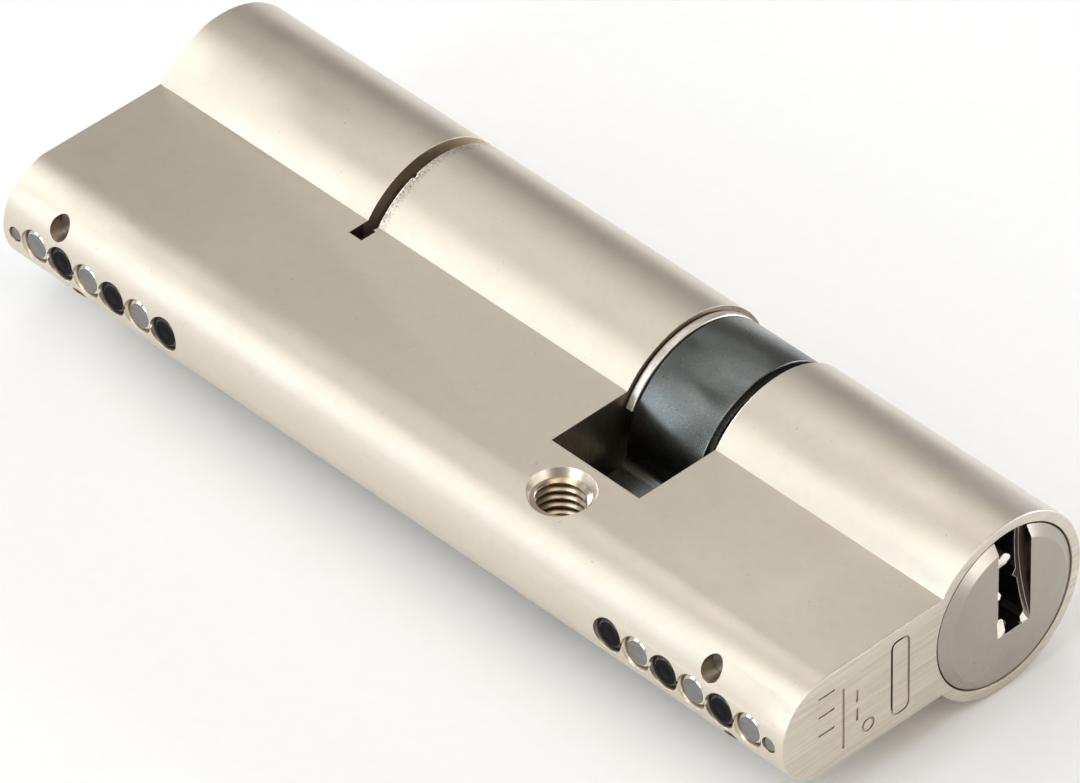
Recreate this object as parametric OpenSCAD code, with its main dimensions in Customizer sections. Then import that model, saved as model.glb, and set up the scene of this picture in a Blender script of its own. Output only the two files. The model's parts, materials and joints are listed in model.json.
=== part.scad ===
// Double euro profile cylinder, long on one side, lying on the side of its web.
// +X runs along the plug axis to the short side's keyed face, +Y from the leg to the barrel,
// +Z out of the web's upper flat. The origin is the middle of the fixing screw's hole.

/* [Profile] */
// Diameter of the round barrel
barrel_d = 17; // [15:0.1:19]
// Thickness of the flat web
web_t = 10; // [8:0.1:12]
// Height from the top of the barrel to the foot of the leg
height = 33; // [30:0.1:36]
// Drop from the plug axis to the fixing screw
screw_drop = 19; // [17:0.1:20]
// Length from the screw to the short side's face
near_len = 30.25; // [28:0.05:45]
// Length from the screw to the long side's face
far_len = 60.25; // [45:0.05:75]

/* [Windows and screw hole] */
// Width of the window that the cam turns in
window_w = 10; // [9:0.1:13]
// Distance from the plug axis to the window's leg end
window_drop = 15.25; // [14:0.05:16]
// Width of the slot for the long side's retaining ring
clip_slot_w = 1.5; // [1.1:0.05:2]
// Distance from the long side's face to that slot
clip_slot_at = 25.05; // [24:0.05:30]
// Distance from the plug axis to that slot's leg end
clip_slot_drop = 9; // [8.3:0.1:11]
// Radius of the fixing screw's hole at the thread's root
screw_r = 2.5; // [2:0.05:3]
// Radius of the countersink's mouth
screw_mouth_r = 3; // [2.6:0.05:3.6]
// Depth of the countersink
screw_mouth_h = 0.9; // [0.4:0.05:1.5]

/* [Plugs] */
// Radius of the plugs
plug_r = 6.5; // [5.8:0.05:6.8]
// Radius of the plug's front flange
flange_r = 7.35; // [7:0.05:7.6]
// Gap round the flange in the housing
flange_gap = 0.15; // [0.05:0.05:0.3]
// Thickness of the flange inside the housing
flange_t = 1.2; // [0.8:0.1:2]
// How far the flange stands out of the housing
proud = 0.5; // [0.2:0.05:1]
// Width of the flange's chamfer
flange_chamfer = 0.9; // [0.4:0.1:1.6]
// Depth of the groove that a retaining ring sits in
neck_drop = 1; // [0.7:0.05:1.5]
// Step from the plug down to its nose inside the cam
nose_drop = 0.2; // [0.1:0.05:0.5]
// Distance from the middle of the cam to the tip of a nose
nose_at = 1.6; // [1.2:0.05:2.5]
// Length of the long side's plug past its retaining ring's slot
tail_l = 2.2; // [1.5:0.1:4]
// Width of the tongue that turns the extension
tongue_w = 3; // [2:0.1:4]

/* [Keyway] */
// Distance from the plug axis to the keyway's pin side
key_low = 1.25; // [1:0.05:1.6]
// Distance from the plug axis to the keyway's far side at the mouth
key_high = 2.4; // [2:0.05:2.8]
// Distance from the plug axis to the bottom of the keyway
key_floor = 2.3; // [1.8:0.05:3]
// Height of the ledge along the keyway's far side
ledge_t = 0.45; // [0.2:0.05:0.8]
// Radius of the cutter that clears the keyway's mouth
mouth_r = 19; // [15:0.5:25]
// Depth that the cutter reaches
mouth_h = 1.45; // [1:0.05:2.5]
// Height above the plug axis where the cutter reaches deepest
mouth_z = 5; // [3:0.1:6]
// Width of the rib in the keyway's floor
rib_w = 0.8; // [0.5:0.05:1]
// Height of that rib
rib_h = 1.5; // [1:0.05:2]
// Half height of the small wards
ward = 0.45; // [0.3:0.05:0.6]

/* [Pins] */
// Distance from a face to its first pin
pin_first = 3.85; // [3.6:0.05:5]
// Distance from pin to pin
pin_pitch = 3.12; // [3:0.02:3.6]
// Number of pins on each side
pin_count = 6; // [6:1:6]
// Radius of the pins
pin_r = 1.25; // [1:0.05:1.3]
// Length of a driver pin
driver_l = 5.8; // [4:0.1:7]
// Depth of the groove round a spool driver
spool_h = 0.3; // [0.1:0.05:0.5]
// Radius of the caps that close the pin bores
cap_r = 1.44; // [1.35:0.01:1.48]
// Thickness of the caps
cap_t = 1.7; // [1.2:0.1:2.5]
// Depth of the caps below the foot of the leg
cap_sink = 0.3; // [0.2:0.05:0.8]
// Radius of the spring's coil
coil_r = 0.9; // [0.7:0.05:1]
// Radius of the spring's wire
wire_r = 0.16; // [0.1:0.01:0.2]
// Turns of a driver's spring
coil_turns = 5; // [4:1:9]

/* [Guard pins] */
// Distance from a face to its small front pin
front_pin_at = 1.5; // [1.3:0.05:1.6]
// Radius of the front pin
front_pin_r = 0.65; // [0.5:0.05:0.65]
// Depth of the front pins below the foot of the leg
front_pin_sink = 0.15; // [0.05:0.05:0.5]
// Distance from the web's middle to the side pins
side_pin_z = 2.8; // [2.6:0.05:3]
// Distance from a face to its first side pin
side_pin_first = 6.15; // [5:0.05:8]
// Distance from a face to its second side pin
side_pin_second = 8.65; // [8:0.05:12]
// Radius of the side pins' bores
side_bore_r = 1; // [0.7:0.05:1.05]
// Depth of the side pins below the foot of the leg
side_pin_sink = 1.9; // [1.5:0.1:6]
// Distance from the plug axis to the blind end of the guard bores
guard_end = 8.6; // [7.5:0.1:10]

/* [Cam and clutch] */
// Radius of the cam's band
band_r = 8.1; // [7.1:0.05:8.3]
// Width of the cam
cam_w = 7.8; // [7:0.05:8]
// Radius of the finger's tip
finger_r = 14.9; // [13:0.1:15]
// Half angle of the finger
finger_half = 14.75; // [12:0.25:18]
// Angle between the leg and the finger at rest
finger_turn = 20; // [0:1:35]
// Radius of the fillet at the finger's root
finger_fillet = 1; // [0.5:0.1:1.5]
// Half thickness of the cam's driven wall
wall_half = 1.4; // [1:0.05:1.5]
// Thickness of the retaining rings in the window
ring_t = 0.8; // [0.6:0.05:1]
// Thickness of the retaining ring on the long side's plug
far_ring_t = 1.1; // [0.8:0.05:1.2]
// How far the extension's retaining ring stands out past the plug
ring_out = 1.6; // [0.5:0.05:1.8]
// How far the plugs' own retaining rings stand out past them
far_ring_out = 0.45; // [0.3:0.05:1.5]
// Width of a clutch dog
dog_w = 3; // [2:0.1:3.6]
// Thickness of a clutch dog
dog_t = 2.4; // [2:0.1:2.6]
// Radius of the push rod
rod_r = 1.5; // [1:0.05:1.8]
// Length of the push rod inside the long side's plug
rod_in = 1.2; // [0.5:0.1:2]

/* [Fits] */
// Radial running clearance
run = 0.05; // [0.02:0.01:0.08]
// Clearance round a pressed piece
press = 0.01; // [0.005:0.005:0.02]
// Side clearance of loose pieces
side = 0.1; // [0.05:0.01:0.3]

/* [Hidden] */
$fn = 48;
cut = 1;
pin_fn = 32;
leg_r = web_t / 2;
foot = barrel_d / 2 - height;
half_window = window_w / 2;
bore_r = plug_r + run;
neck_r = plug_r - neck_drop;
nose_r = plug_r - nose_drop;
flange_bore_r = flange_r + flange_gap;
chamber_r = pin_r + run;
cap_bore_r = cap_r + press;
cap_in = foot + cap_sink + cap_t;
clip_lo = -far_len + clip_slot_at;
clip_hi = clip_lo + clip_slot_w;
tail_end = clip_hi + tail_l;
neck_end = half_window - ring_t - 2 * side;
dog_at = nose_at + side;
dog_r = nose_r - 0.15;
dog_bed = dog_at + dog_t + side;
shear = bore_r + 0.07;
pin_top = plug_r - 0.2;
driver_foot = -shear - driver_l;
spring_l = driver_foot - cap_in;
tips = [0.55, 0.95, 0.35, 0.75, 0.45, 0.85];

// Moves a shape from the plug axis to its place above the fixing screw
module on_axis() {
  translate([0, screw_drop, 0]) children();
}

// Turns the short side's shape round to the long side
module to_far() {
  rotate([0, 180, 0]) children();
}

// Extrudes a shape in Y and Z from x0 to x1
module along_x(x0, x1) {
  translate([x0, 0, 0])
    rotate([90, 0, 90])
      linear_extrude(height = x1 - x0) children();
}

// Round bar on the plug axis from x0 to x1
module bar_x(x0, x1, r) {
  translate([x0, 0, 0])
    rotate([0, 90, 0])
      cylinder(h = x1 - x0, r = r);
}

// Round bar along Y from y0 to y1
module bar_y(x, z, y0, y1, r) {
  translate([x, y0, z])
    rotate([-90, 0, 0])
      cylinder(h = y1 - y0, r = r, $fn = pin_fn);
}

// Box from its low corner to its high corner
module block(low, high) {
  translate(low) cube(high - low);
}

// Distance from the screw to pin i on a side of length len
function pin_x(len, i) = len - pin_first - i * pin_pitch;

// Outline of the housing
module profile() {
  circle(r = barrel_d / 2);
  translate([foot + leg_r, -leg_r]) square([-foot - leg_r, web_t]);
  translate([foot + leg_r, 0]) circle(r = leg_r);
}

// Bores for the pins, caps and guard pins of the side of length len
module side_bores(len) {
  for (i = [0 : pin_count - 1]) {
    bar_y(pin_x(len, i), 0, foot - cut, -plug_r + cut, chamber_r);
    bar_y(pin_x(len, i), 0, foot - cut, cap_in, cap_bore_r);
  }
  bar_y(len - front_pin_at, 0, foot - cut, -guard_end, front_pin_r + press);
  bar_y(len - side_pin_second, side_pin_z, foot - cut, -guard_end, side_bore_r);
  bar_y(len - side_pin_first, -side_pin_z, foot - cut, -guard_end, side_bore_r);
}

// Fixing screw's hole with a countersink on both flats
module screw_hole() {
  translate([0, -screw_drop, -leg_r - cut])
    cylinder(h = web_t + 2 * cut, r = screw_r);
  translate([0, -screw_drop, leg_r - screw_mouth_h])
    cylinder(h = screw_mouth_h + press, r1 = screw_r, r2 = screw_mouth_r);
  translate([0, -screw_drop, -leg_r - press])
    cylinder(h = screw_mouth_h + press, r1 = screw_mouth_r, r2 = screw_r);
}

// Housing: one bar of the profile, bored and slotted
module housing() {
  color([0.78, 0.74, 0.68]) on_axis() difference() {
    along_x(-far_len, near_len) profile();
    bar_x(-far_len - cut, near_len + cut, bore_r);
    bar_x(near_len - flange_t, near_len + cut, flange_bore_r);
    bar_x(-far_len - cut, -far_len + flange_t, flange_bore_r);
    block([-half_window, -window_drop, -barrel_d], [half_window, barrel_d, barrel_d]);
    block([clip_lo, -clip_slot_drop, -barrel_d], [clip_hi, barrel_d, barrel_d]);
    side_bores(near_len);
    to_far() side_bores(far_len);
    screw_hole();
  }
}

// Section of the keyway behind its mouth
module key_section() {
  polygon([
    [-key_low, barrel_d],
    [-key_low, key_low + ward],
    [-key_low + ward, key_low],
    [-key_low, key_low - ward],
    [-key_low, rib_h - key_floor],
    [-key_low + rib_w, rib_h - key_floor],
    [-key_low + rib_w, -key_floor],
    [key_high - 2 * ledge_t, -key_floor],
    [key_high - 2 * ledge_t, -key_floor + ward],
    [key_high - ledge_t, -key_floor + 2 * ward],
    [key_high - ledge_t, key_low - ward],
    [key_high - ledge_t - ward, key_low],
    [key_high - ledge_t, key_low + ward],
    [key_high - ledge_t, barrel_d]
  ]);
}

// Keyway from x0 to the face at x1, with the cutter's pocket at its mouth
module keyway(x0, x1) {
  along_x(x0, x1 + cut) key_section();
  intersection() {
    block([x1 - mouth_h - cut, key_low, -key_floor], [x1 + cut, key_high, barrel_d]);
    translate([x1 - mouth_h + mouth_r, key_high + cut, mouth_z])
      rotate([90, 0, 0])
        cylinder(h = key_high + cut, r = mouth_r, $fn = 96);
  }
}

// Plug with its flange at the face of a side of length len, from x0
module plug_blank(x0, len) {
  bar_x(x0, len, plug_r);
  bar_x(len - flange_t + side, len - press, flange_r);
  translate([len - 2 * press, 0, 0])
    rotate([0, 90, 0])
      cylinder(h = proud + 2 * press, r1 = flange_r, r2 = flange_r - flange_chamfer);
}

// Bores for the key pins of the side of length len
module key_pin_bores(len) {
  for (i = [0 : pin_count - 1])
    bar_y(pin_x(len, i), 0, -plug_r - cut, 0, chamber_r);
}

// Nose that fits the cam, with its neck and the dog's bed
module nose(x1) {
  difference() {
    union() {
      bar_x(nose_at, neck_end, nose_r);
      bar_x(nose_at, x1, neck_r);
    }
    block([nose_at - cut, -barrel_d, -dog_w / 2 - run], [dog_bed, barrel_d, dog_w / 2 + run]);
  }
}

// Short side's plug
module near_plug() {
  color([0.72, 0.70, 0.66]) on_axis() difference() {
    union() {
      plug_blank(half_window, near_len);
      nose(half_window + cut);
    }
    keyway(nose_at - cut, near_len + proud);
    key_pin_bores(near_len);
  }
}

// Long side's plug, which ends in a slotted tail past its retaining ring
module far_plug() {
  color([0.72, 0.70, 0.66]) on_axis() difference() {
    union() {
      to_far() plug_blank(-clip_lo, far_len);
      bar_x(clip_lo - cut, clip_hi + side, neck_r);
      bar_x(clip_hi - side, tail_end, plug_r);
    }
    to_far() keyway(-tail_end - cut, far_len + proud);
    to_far() key_pin_bores(far_len);
    bar_x(clip_lo - rod_in - side, tail_end + cut, rod_r + run);
    block([clip_hi + side, -barrel_d, -tongue_w / 2 - run], [tail_end + cut, barrel_d, tongue_w / 2 + run]);
  }
}

// Extension that carries the long side's turn to the cam
module extension() {
  color([0.70, 0.66, 0.58]) on_axis() difference() {
    union() {
      bar_x(tail_end + side, -half_window, plug_r);
      intersection() {
        bar_x(clip_hi + 2 * side, tail_end + cut, plug_r);
        block([clip_lo, -barrel_d, -tongue_w / 2], [0, barrel_d, tongue_w / 2]);
      }
      to_far() nose(half_window + cut);
    }
    bar_x(clip_lo, 0, rod_r + run);
  }
}

// Point u out along a flank of the cam's finger and w off it, on side s
function flank(u, w, s) = [
  w * sin(finger_half) - u * cos(finger_half),
  s * (u * sin(finger_half) + w * cos(finger_half))
];

// Outline of the cam: the band's circle and the finger, filleted together
module cam_outline() {
  reach = band_r + finger_fillet;
  foot_u = sqrt(reach * reach - finger_fillet * finger_fillet);
  inner = (band_r - finger_fillet) / reach;
  rotate(finger_turn)
    difference() {
      union() {
        circle(r = band_r);
        intersection() {
          circle(r = finger_r);
          polygon([
            [0, 0],
            flank(foot_u * inner, finger_fillet * inner, 1),
            flank(foot_u, finger_fillet, 1),
            flank(foot_u, 0, 1),
            flank(finger_r * 2, 0, 1),
            flank(finger_r * 2, 0, -1),
            flank(foot_u, 0, -1),
            flank(foot_u, finger_fillet, -1),
            flank(foot_u * inner, finger_fillet * inner, -1)
          ]);
        }
      }
      for (s = [-1, 1])
        translate(flank(foot_u, finger_fillet, s)) circle(r = finger_fillet + press);
    }
}

// Cam: a band with a finger, and a slotted wall between two recesses
module cam() {
  color([0.22, 0.23, 0.25]) on_axis() difference() {
    along_x(-cam_w / 2, cam_w / 2) cam_outline();
    bar_x(wall_half, cam_w, nose_r + run);
    bar_x(-cam_w, -wall_half, nose_r + run);
    bar_x(-cam_w, cam_w, coil_r * 2 + 3 * wire_r);
    intersection() {
      bar_x(-cam_w, cam_w, dog_r + side);
      block([-cam_w, -barrel_d, -dog_w / 2 - side], [cam_w, barrel_d, dog_w / 2 + side]);
    }
  }
}

// Clutch dog: a round-ended bar across the plug axis
module dog() {
  intersection() {
    bar_x(dog_at, dog_at + dog_t, dog_r);
    block([0, -barrel_d, -dog_w / 2], [barrel_d, barrel_d, dog_w / 2]);
  }
}

// Short side's clutch dog
module near_dog() {
  color([0.55, 0.55, 0.56]) on_axis() dog();
}

// Long side's clutch dog
module far_dog() {
  color([0.55, 0.55, 0.56]) on_axis() to_far() dog();
}

// Rod that carries the long side's key tip to its dog
module push_rod() {
  color([0.60, 0.60, 0.61])
    on_axis() bar_x(clip_lo - rod_in, -dog_at - dog_t, rod_r);
}

// Coil of wire along Z from the origin, as a closed sweep
module coil(r, length, turns) {
  steps = 8;
  sides = 4;
  rings = turns * steps;
  rise = length - 2 * wire_r;
  points = [
    for (i = [0 : rings], k = [0 : sides - 1])
      let (a = 360 * i / steps, b = 360 * k / sides, w = r + wire_r * cos(b))
        [w * cos(a), w * sin(a), wire_r + rise * i / rings + wire_r * sin(b)]
  ];
  skin = [
    for (i = [0 : rings - 1], k = [0 : sides - 1], t = [0, 1])
      let (m = (k + 1) % sides, p = i * sides, q = p + sides)
        t == 0 ? [p + k, q + k, q + m] : [p + k, q + m, p + m]
  ];
  last = rings * sides;
  ends = [
    [0, 1, 2],
    [0, 2, 3],
    [last, last + 2, last + 1],
    [last, last + 3, last + 2]
  ];
  polyhedron(points = points, faces = concat(skin, ends));
}

// Spring between the two dogs
module clutch_spring() {
  color([0.66, 0.66, 0.67]) on_axis()
    translate([-dog_at, 0, 0])
      rotate([0, 90, 0])
        coil(coil_r * 2, 2 * dog_at, 3);
}

// Open retaining ring from x0, pushed on from the barrel's side
module open_ring(x0, t, r) {
  difference() {
    bar_x(x0, x0 + t, r);
    bar_x(x0 - cut, x0 + t + cut, neck_r + run);
    block([x0 - cut, -barrel_d, -neck_r * 0.75], [x0 + t + cut, 0, neck_r * 0.75]);
  }
}

// Retaining ring of the short side's plug
module near_ring() {
  color([0.80, 0.80, 0.80]) on_axis() open_ring(half_window - side - ring_t, ring_t, plug_r + far_ring_out);
}

// Retaining ring of the extension
module extension_ring() {
  color([0.80, 0.80, 0.80]) on_axis() open_ring(-half_window + side, ring_t, plug_r + ring_out);
}

// Retaining ring of the long side's plug
module far_ring() {
  color([0.80, 0.80, 0.80]) on_axis()
    open_ring((clip_lo + clip_hi - far_ring_t) / 2, far_ring_t, plug_r + far_ring_out);
}

// Key pin i at x: round-nosed, its tip standing into the keyway
module key_pin(x, i) {
  tip = -key_low + tips[i];
  shoulder = tip - pin_r * 0.6;
  color([0.80, 0.70, 0.45]) on_axis() {
    bar_y(x, 0, -pin_top, shoulder + press, pin_r);
    translate([x, shoulder, 0])
      rotate([-90, 0, 0])
        cylinder(h = tip - shoulder, r1 = pin_r, r2 = pin_r * 0.4, $fn = pin_fn);
  }
}

// Short side's key pins
module near_key_pin_1() {
  key_pin(pin_x(near_len, 0), 0);
}
module near_key_pin_2() {
  key_pin(pin_x(near_len, 1), 1);
}
module near_key_pin_3() {
  key_pin(pin_x(near_len, 2), 2);
}
module near_key_pin_4() {
  key_pin(pin_x(near_len, 3), 3);
}
module near_key_pin_5() {
  key_pin(pin_x(near_len, 4), 4);
}
module near_key_pin_6() {
  key_pin(pin_x(near_len, 5), 5);
}

// Long side's key pins
module far_key_pin_1() {
  key_pin(-pin_x(far_len, 0), 0);
}
module far_key_pin_2() {
  key_pin(-pin_x(far_len, 1), 1);
}
module far_key_pin_3() {
  key_pin(-pin_x(far_len, 2), 2);
}
module far_key_pin_4() {
  key_pin(-pin_x(far_len, 3), 3);
}
module far_key_pin_5() {
  key_pin(-pin_x(far_len, 4), 4);
}
module far_key_pin_6() {
  key_pin(-pin_x(far_len, 5), 5);
}

// Driver pin i at x: plain, or waisted like a spool on every other pin
module driver(x, i) {
  color([0.62, 0.62, 0.63]) on_axis() difference() {
    bar_y(x, 0, driver_foot, -shear, pin_r);
    if (i % 2 == 1)
      difference() {
        bar_y(x, 0, driver_foot + driver_l * 0.35, driver_foot + driver_l * 0.75, pin_r + cut);
        bar_y(x, 0, driver_foot, -shear, pin_r - spool_h);
      }
  }
}

// Short side's driver pins
module near_driver_1() {
  driver(pin_x(near_len, 0), 0);
}
module near_driver_2() {
  driver(pin_x(near_len, 1), 1);
}
module near_driver_3() {
  driver(pin_x(near_len, 2), 2);
}
module near_driver_4() {
  driver(pin_x(near_len, 3), 3);
}
module near_driver_5() {
  driver(pin_x(near_len, 4), 4);
}
module near_driver_6() {
  driver(pin_x(near_len, 5), 5);
}

// Long side's driver pins
module far_driver_1() {
  driver(-pin_x(far_len, 0), 0);
}
module far_driver_2() {
  driver(-pin_x(far_len, 1), 1);
}
module far_driver_3() {
  driver(-pin_x(far_len, 2), 2);
}
module far_driver_4() {
  driver(-pin_x(far_len, 3), 3);
}
module far_driver_5() {
  driver(-pin_x(far_len, 4), 4);
}
module far_driver_6() {
  driver(-pin_x(far_len, 5), 5);
}

// Springs under the drivers of the side of length len
module driver_springs(len) {
  for (i = [0 : pin_count - 1])
    translate([pin_x(len, i), cap_in, 0])
      rotate([-90, 0, 0])
        coil(coil_r, spring_l, coil_turns);
}

// Short side's driver springs
module near_springs() {
  color([0.66, 0.66, 0.67]) on_axis() driver_springs(near_len);
}

// Long side's driver springs
module far_springs() {
  color([0.66, 0.66, 0.67]) on_axis() to_far() driver_springs(far_len);
}

// Every other cap of the side of length len, from pin i
module caps(len, first) {
  for (i = [first : 2 : pin_count - 1])
    bar_y(pin_x(len, i), 0, foot + cap_sink, cap_in, cap_r);
}

// Bright steel caps
module steel_caps() {
  color([0.75, 0.75, 0.76]) on_axis() {
    caps(near_len, 0);
    to_far() caps(far_len, 0);
  }
}

// Blackened caps
module black_caps() {
  color([0.08, 0.08, 0.09]) on_axis() {
    caps(near_len, 1);
    to_far() caps(far_len, 1);
  }
}

// Small hardened pins just behind each face
module front_pins() {
  color([0.75, 0.75, 0.76]) on_axis()
    for (x = [near_len - front_pin_at, front_pin_at - far_len])
      bar_y(x, 0, foot + front_pin_sink, -guard_end - side, front_pin_r);
}

// Hardened pins beside the pin bores of the side of length len
module guard_pair(len) {
  bar_y(len - side_pin_second, side_pin_z, foot + side_pin_sink, -guard_end - side, side_bore_r - press);
  bar_y(len - side_pin_first, -side_pin_z, foot + side_pin_sink, -guard_end - side, side_bore_r - press);
}

// Hardened side pins
module side_pins() {
  color([0.55, 0.55, 0.56]) on_axis() {
    guard_pair(near_len);
    to_far() guard_pair(far_len);
  }
}

housing();
near_plug();
far_plug();
extension();
cam();
near_dog();
far_dog();
push_rod();
clutch_spring();
near_ring();
extension_ring();
far_ring();
near_key_pin_1();
near_key_pin_2();
near_key_pin_3();
near_key_pin_4();
near_key_pin_5();
near_key_pin_6();
far_key_pin_1();
far_key_pin_2();
far_key_pin_3();
far_key_pin_4();
far_key_pin_5();
far_key_pin_6();
near_driver_1();
near_driver_2();
near_driver_3();
near_driver_4();
near_driver_5();
near_driver_6();
far_driver_1();
far_driver_2();
far_driver_3();
far_driver_4();
far_driver_5();
far_driver_6();
near_springs();
far_springs();
steel_caps();
black_caps();
front_pins();
side_pins();
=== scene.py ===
import json
import logging
import math
from dataclasses import dataclass
from enum import Enum, IntEnum
from typing import Optional, Sequence

import bmesh
import bpy
from bmesh.types import BMesh, BMEdge, BMVert
from mathutils import Matrix, Vector

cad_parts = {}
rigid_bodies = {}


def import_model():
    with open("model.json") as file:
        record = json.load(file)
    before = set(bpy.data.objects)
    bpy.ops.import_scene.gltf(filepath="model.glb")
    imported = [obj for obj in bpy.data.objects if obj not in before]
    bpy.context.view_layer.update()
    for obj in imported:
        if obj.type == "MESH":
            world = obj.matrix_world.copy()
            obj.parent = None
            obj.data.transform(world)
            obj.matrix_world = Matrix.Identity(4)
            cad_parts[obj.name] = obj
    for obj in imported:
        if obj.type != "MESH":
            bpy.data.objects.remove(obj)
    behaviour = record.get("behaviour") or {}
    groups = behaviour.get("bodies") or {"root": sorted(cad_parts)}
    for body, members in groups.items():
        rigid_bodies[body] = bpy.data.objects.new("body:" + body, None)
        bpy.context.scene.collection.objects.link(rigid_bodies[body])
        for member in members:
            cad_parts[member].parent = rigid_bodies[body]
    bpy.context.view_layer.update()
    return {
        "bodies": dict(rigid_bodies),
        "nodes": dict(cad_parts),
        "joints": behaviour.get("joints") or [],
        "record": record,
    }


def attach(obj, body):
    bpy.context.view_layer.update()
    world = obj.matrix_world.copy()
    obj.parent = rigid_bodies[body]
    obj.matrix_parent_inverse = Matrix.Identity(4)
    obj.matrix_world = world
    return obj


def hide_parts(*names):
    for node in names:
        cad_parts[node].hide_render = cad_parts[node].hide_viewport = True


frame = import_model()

LOG = logging.getLogger("euro_cylinder")

MM = 0.001
WELD = 1e-4
FULL = 2.0 * math.pi
SMOOTH_UNDER = math.radians(26)
Outline = Sequence[tuple[float, float]]
Triple = tuple[float, float, float]
Socket = bpy.types.NodeSocket


class Axis(Enum):
    """A direction that a turned or extruded shape runs along."""

    X = 0
    Y = 1
    Z = 2

    def turn(self) -> Matrix:
        """Gives the rotation that carries +Z onto this axis."""
        return {
            Axis.X: Matrix.Rotation(math.radians(90), 4, "Y"),
            Axis.Y: Matrix.Rotation(math.radians(-90), 4, "X"),
            Axis.Z: Matrix.Identity(4),
        }[self]


# --------------------------------------------------------------------------- finishes


class Nodes:
    """A short way to lay out one material's nodes."""

    def __init__(self, name: str) -> None:
        """Starts an empty material with an output.

        Args:
            name: the material's name.
        """
        self.material = bpy.data.materials.new(name)
        self.material.use_nodes = True
        self.tree = self.material.node_tree
        self.tree.nodes.clear()
        self.out = self.tree.nodes.new("ShaderNodeOutputMaterial")

    def add(self, kind: str, inputs: Optional[dict] = None, **settings) -> bpy.types.Node:
        """Adds a node.

        Args:
            kind: the node's type name, without its ShaderNode prefix.
            inputs: socket name or index to a value, or to a socket to link from.
            **settings: properties set on the node itself.

        Returns:
            The new node.
        """
        node = self.tree.nodes.new("ShaderNode" + kind)
        for key, value in settings.items():
            setattr(node, key, value)
        for key, value in (inputs or {}).items():
            if isinstance(value, Socket):
                self.tree.links.new(value, node.inputs[key])
            else:
                node.inputs[key].default_value = value
        return node

    def spot(self, scale: Triple) -> Socket:
        """Gives the object's own coordinates, scaled per axis.

        Args:
            scale: how many times each axis is stretched.

        Returns:
            The socket that holds the coordinates.
        """
        here = self.add("TexCoord").outputs["Object"]
        return self.add("Mapping", {"Vector": here, "Scale": scale}).outputs[0]

    def noise(self, scale: Triple, detail: float = 3.0, rough: float = 0.5) -> Socket:
        """Adds a noise whose grain is 1 / scale metres along each axis.

        Args:
            scale: grains per metre along X, Y and Z.
            detail: octaves.
            rough: how strong the finer octaves are.

        Returns:
            The noise's value socket.
        """
        inputs = {"Vector": self.spot(scale), "Scale": 1.0, "Detail": detail, "Roughness": rough}
        return self.add("TexNoise", inputs).outputs[0]

    def grain(self, scale: float, detail: float = 3.0, rough: float = 0.5) -> Socket:
        """Adds a noise with the same grain along all three axes and gives its value socket."""
        return self.noise((scale,) * 3, detail, rough)

    def remap(self, value: Socket, low: float, high: float, to_low: float, to_high: float) -> Socket:
        """Carries a value from one range to another, held at its ends.

        Args:
            value: the socket to read.
            low: value that becomes to_low.
            high: value that becomes to_high.
            to_low: result at low.
            to_high: result at high.

        Returns:
            The result's socket.
        """
        inputs = {0: value, 1: low, 2: high, 3: to_low, 4: to_high}
        return self.add("MapRange", inputs).outputs[0]

    def math(self, how: str, a: Socket | float, b: Socket | float) -> Socket:
        """Joins two values with one arithmetic operation and gives the result's socket."""
        return self.add("Math", {0: a, 1: b}, operation=how).outputs[0]

    def mix(self, factor: Socket, a: Socket | Sequence[float], b: Socket | Sequence[float]) -> Socket:
        """Blends two colours.

        Args:
            factor: share of b.
            a: first colour.
            b: second colour.

        Returns:
            The blended colour's socket.
        """
        node = self.add("Mix", data_type="RGBA")
        for socket, value in ((node.inputs[0], factor), (node.inputs[6], a), (node.inputs[7], b)):
            if isinstance(value, Socket):
                self.tree.links.new(value, socket)
            else:
                socket.default_value = value
        return node.outputs[2]

    def worn_edges(self, radius: float, gain: float) -> Socket:
        """Finds the outer edges by how far a rounded normal leans off the true one.

        Args:
            radius: width of the worn band, in metres.
            gain: how quickly the band reaches full strength.

        Returns:
            A socket that is 1 on an edge and 0 away from it.
        """
        soft = self.add("Bevel", {"Radius": radius}, samples=6).outputs[0]
        true = self.add("NewGeometry").outputs["Normal"]
        lean = self.add("VectorMath", {0: soft, 1: true}, operation="DOT_PRODUCT").outputs["Value"]
        return self.remap(lean, 1.0, 1.0 - 1.0 / gain, 0.0, 1.0)

    def shade(self, inputs: dict) -> bpy.types.Material:
        """Ends the material in one surface shader.

        Args:
            inputs: the shader's sockets and what goes into them.

        Returns:
            The finished material.
        """
        shader = self.add("BsdfPrincipled", inputs)
        self.tree.links.new(shader.outputs[0], self.out.inputs[0])
        return self.material


def rgb(red: float, green: float, blue: float) -> tuple[float, float, float, float]:
    """Gives an opaque linear colour."""
    return (red, green, blue, 1.0)


def scaled(tone: Triple, share: float) -> tuple[float, float, float, float]:
    """Gives an opaque colour that is a share of a tone."""
    return rgb(*(share * c for c in tone))


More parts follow.
